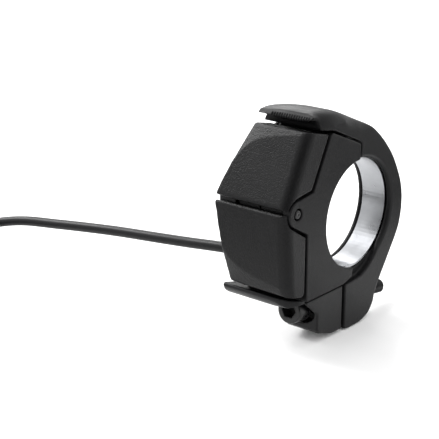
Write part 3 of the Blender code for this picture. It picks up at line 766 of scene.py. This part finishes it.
def make_bolt():
    """The clamp bolt: eased head, hex socket and a cut thread."""
    profile = [(0, 2.3), (1.4, 2.3, "hex"), (1.4, 0.14, "hex"), (1.52, 0.0, "hex"), (2.3, 0.0), (2.5, 0.05)]
    profile += [(2.64, 0.16), (2.72, 0.36), (2.72, 2.86), (2.66, 2.96), (2.56, 3.0), (1.45, 3.0)]
    profile += [(1.45, 11.9), (1.15, 12.2), (1.15, 32.3), (1.0, 32.8), (0.8, 32.98), (0, 33.0)]
    work = placed(lathe(profile, 48), bolt_point(0), bolt_point(1))
    ridge = thread(*THREAD_ALONG, THREAD_RADIUS, THREAD_PITCH, THREAD_DEPTH)
    add_to(work, placed(ridge, bolt_point(0), bolt_point(1)))
    obj = show("clamp_bolt_cut", as_plain_mesh("bolt", work), "bolt", ["clamp_bolt"], "black_steel")
    obj.data.set_sharp_from_angle(angle=math.radians(35))


def make_gland():
    """The tapered strain relief, ringed so that it bends with the lead."""
    start, tip = Vector(GLAND_ROOT), Vector(LEAD_EXIT)
    length = (tip - start).length
    profile = [(0, 0), (1.75, 0), (1.75, 3.4)]
    for ring in range(6):
        z = 3.5 + ring * 1.0
        wide = 1.74 - 0.05 * ring
        profile += [(wide - 0.2, z + 0.12), (wide - 0.22, z + 0.32)]
        profile += [(wide - 0.03, z + 0.44), (wide - 0.05, z + 0.9)]
    profile += [(1.38, length - 0.25), (1.24, length - 0.03), (0, length - 0.03)]
    work = placed(lathe(profile, 40), start, tip)
    obj = show("lead_gland_ringed", as_plain_mesh("gland", work), "housing", ["lead_gland"], "lead_rubber")
    obj.data.set_sharp_from_angle(angle=math.radians(50))
    return obj


def plug_heading():
    """The coil's tangent where the lead leaves it for the plug."""
    angle = math.radians(PLUG_ANGLE)
    return Vector((-math.sin(angle), math.cos(angle), 0.0))


def make_plug():
    """The round plug: a ringed tail, a ribbed grip and a stepped barrel with a groove round it and a hollow
    end.
    """
    heading = plug_heading()
    start = coil_points()[-1] + heading * PLUG_START - Vector((0, 0, PLUG_DROP))
    profile = [(0, 0), (1.32, 0), (1.46, 0.2)]
    for ring in range(5):
        z = 0.6 + ring * 1.15
        wide = 1.52 + 0.14 * ring
        profile += [(wide, z), (wide - 0.16, z + 0.2), (wide - 0.14, z + 0.5), (wide + 0.1, z + 0.7)]
    profile += [(2.3, 6.6), (2.52, 7.1), (2.55, 7.3)]
    for ring in range(4):
        z = 7.8 + ring * 0.8
        profile += [(2.55, z), (2.42, z + 0.1), (2.42, z + 0.35), (2.55, z + 0.45)]
    profile += [(2.55, 11.35), (2.4, 11.6), (1.82, 11.6), (1.8, 11.75), (1.8, 13.1), (1.68, 13.2)]
    profile += [(1.68, 13.5), (1.8, 13.6), (1.8, 14.75), (1.6, 15.0), (1.35, 15.0), (1.3, 14.2), (0, 14.2)]
    work = placed(lathe(profile, 48), start, start + heading)
    obj = show("lead_plug_moulded", as_plain_mesh("plug", work), "housing", ["lead_plug"], "plug_plastic")
    obj.data.set_sharp_from_angle(angle=math.radians(40))
    return obj


# ---------------------------------------------------------------- camera, lights and floor

def make_camera():
    data = bpy.data.cameras.new("camera")
    data.lens = CAMERA_LENS
    data.sensor_width = SENSOR
    data.clip_start = 0.01
    data.clip_end = 20.0
    camera = new_object("camera", data)
    camera.location = Vector(CAMERA_PLACE) * MM
    azimuth, elevation = math.radians(CAMERA_AZIMUTH), math.radians(CAMERA_ELEVATION)
    level = math.cos(elevation)
    back = Vector((math.sin(azimuth) * level, -math.cos(azimuth) * level, math.sin(elevation)))
    camera.rotation_mode = "QUATERNION"
    camera.rotation_quaternion = (-back).to_track_quat("-Z", "Y")
    bpy.context.scene.camera = camera


def soft_light(name, place, size, power):
    """A square soft box at a place in metres, aimed at the shifter."""
    data = bpy.data.lights.new(name, "AREA")
    data.shape = "SQUARE"
    data.size = size
    data.energy = power
    light = new_object(name, data)
    light.location = place
    light.rotation_mode = "QUATERNION"
    light.rotation_quaternion = (-Vector(place)).to_track_quat("-Z", "Y")


def make_floor():
    work = bmesh.new()
    bmesh.ops.create_circle(work, cap_ends=True, segments=96, radius=6.0)
    bmesh.ops.translate(work, vec=(0, 0, FLOOR_Z * MM), verts=work.verts)
    mesh = as_plain_mesh("floor", work)
    floor = new_object("floor", mesh)
    material, tree, shader = new_material("floor")
    paper = noise(tree, 40.0, 3.0, object_space(tree))
    tree.links.new(ramp(tree, paper, (0.86, 0.86, 0.86), (0.88, 0.88, 0.88)), shader.inputs["Base Color"])
    shader.inputs["Roughness"].default_value = 0.9
    shader.inputs["Specular IOR Level"].default_value = 0.1
    mesh.materials.append(material)


def card(work, corners):
    """Add one flat card to a bmesh."""
    work.faces.new([work.verts.new(corner) for corner in corners])


def floor_card(work, x_low, x_high, y_low, y_high):
    """A card that lies just above the floor."""
    z = FLOOR_Z * MM + 0.0004
    card(work, [(x_low, y_low, z), (x_high, y_low, z), (x_high, y_high, z), (x_low, y_high, z)])


def curved_card(work, distance, start, end, z_low, z_high, steps=24):
    """A card that stands round the shifter between two azimuths."""
    around = [math.radians(start + (end - start) * i / steps) for i in range(steps + 1)]
    edge = [(distance * math.sin(a), -distance * math.cos(a)) for a in around]
    for left, right in zip(edge, edge[1:]):
        card(work, [(*left, z_low), (*right, z_low), (*right, z_high), (*left, z_high)])


def make_flag():
    """Black cards that darken what faces them. Only reflections show them."""
    work = bmesh.new()
    for limits in CURVED_CARDS:
        curved_card(work, *limits)
    for limits in FLOOR_CARDS:
        floor_card(work, *limits)
    mesh = as_plain_mesh("flag", work)
    flag = new_object("flag", mesh)
    material, tree, shader = new_material("flag_cloth")
    weave = noise(tree, 300.0, 2.0, object_space(tree))
    cloth = ramp(tree, weave, (0.004, 0.004, 0.004), (0.008, 0.008, 0.008))
    tree.links.new(cloth, shader.inputs["Base Color"])
    shader.inputs["Roughness"].default_value = 1.0
    shader.inputs["Specular IOR Level"].default_value = 0.0
    mesh.materials.append(material)
    flag.visible_camera = False
    flag.visible_shadow = False
    flag.visible_diffuse = False


def make_world():
    """Plain white light from all round."""
    world = bpy.data.worlds.new("studio")
    world.use_nodes = True
    background = world.node_tree.nodes["Background"]
    background.inputs["Color"].default_value = (1.0, 1.0, 1.0, 1.0)
    background.inputs["Strength"].default_value = WORLD_STRENGTH
    bpy.context.scene.world = world
    bpy.context.scene.view_settings.view_transform = "Standard"


# ---------------------------------------------------------------- lead

def smooth_route(points, per_span):
    """A smooth curve through the points."""
    ends = [points[0] * 2 - points[1]] + points + [points[-1] * 2 - points[-2]]
    out = []
    for i in range(1, len(ends) - 2):
        p0, p1, p2, p3 = ends[i - 1:i + 3]
        for step in range(per_span):
            t = step / per_span
            out.append(0.5 * (
                2 * p1 + (p2 - p0) * t + (2 * p0 - 5 * p1 + 4 * p2 - p3) * t ** 2
                + (3 * p1 - p0 - 3 * p2 + p3) * t ** 3
            ))
    return out + [points[-1]]


def coil_points():
    """Two layers: inwards on the floor for one turn, then up and outwards to the plug's tangent."""
    turns = 2.0 + (PLUG_ANGLE - COIL_ENTRY_ANGLE) / 360.0
    count = int(turns * 40)
    points = []
    for i in range(count + 1):
        turn = turns * i / count
        angle = math.radians(COIL_ENTRY_ANGLE + 360.0 * turn)
        if turn < 1.0:
            radius = COIL_OUTER + (COIL_INNER - COIL_OUTER) * turn
        else:
            radius = COIL_INNER + (COIL_OUTER - COIL_INNER) * min(turn - 1.0, 1.0)
        climb = min(max(((turn - 1.0) * 360.0 + 20.0) / 70.0, 0.0), 1.0)
        height = COIL_LAYER * climb * climb * (3 - 2 * climb)
        x, y = COIL_CENTRE
        points.append(Vector((
            x + radius * math.cos(angle), y + radius * math.sin(angle), COIL_FLOOR + LEAD_RADIUS + height,
        )))
    return points


def lead_points():
    """The lead's centre line, from inside the strain relief to inside the plug."""
    route = [Vector(LEAD_INSIDE)] + [Vector(p) for p in LEAD_ROUTE]
    coil = coil_points()
    approach = smooth_route(route + [coil[0], coil[1]], 5)[:-6]
    away = plug_heading() - Vector((0, 0, PLUG_DROP / PLUG_START))
    tail = [coil[-1] + away * reach for reach in (2.0, 4.5, 7.0, PLUG_START + 1.5)]
    return approach + coil + tail


def make_lead(gland, plug, tie):
    """The lead as one cord, which the strain relief, the plug and the tie sit on; these three arguments are
    not used.
    """
    points = lead_points()
    curve = bpy.data.curves.new("lead_cable", "CURVE")
    curve.dimensions = "3D"
    curve.bevel_depth = LEAD_RADIUS * MM
    curve.bevel_resolution = 4
    curve.use_fill_caps = True
    spline = curve.splines.new("POLY")
    spline.points.add(len(points) - 1)
    for point, place in zip(spline.points, points):
        point.co = (*(place * MM), 1.0)
    spline.use_smooth = True
    curve.materials.append(MATERIALS["lead_rubber"])
    lead = new_object("lead_cable", curve)
    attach(lead, "housing")
    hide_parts("lead", "lead_coil")


make_camera()
make_world()
make_floor()
make_flag()
soft_light("key", *KEY_LIGHT)
soft_light("rim", *RIM_LIGHT)
dress_cad_nodes()
make_lead(make_gland(), make_plug(), make_shell("coil_tie", "housing", "plug_plastic", 0.1, 8))
make_case_screws()
make_pin()
make_bolt()
for paddle, outline in PADDLES.items():
    make_paddle(paddle, outline)
make_shells()
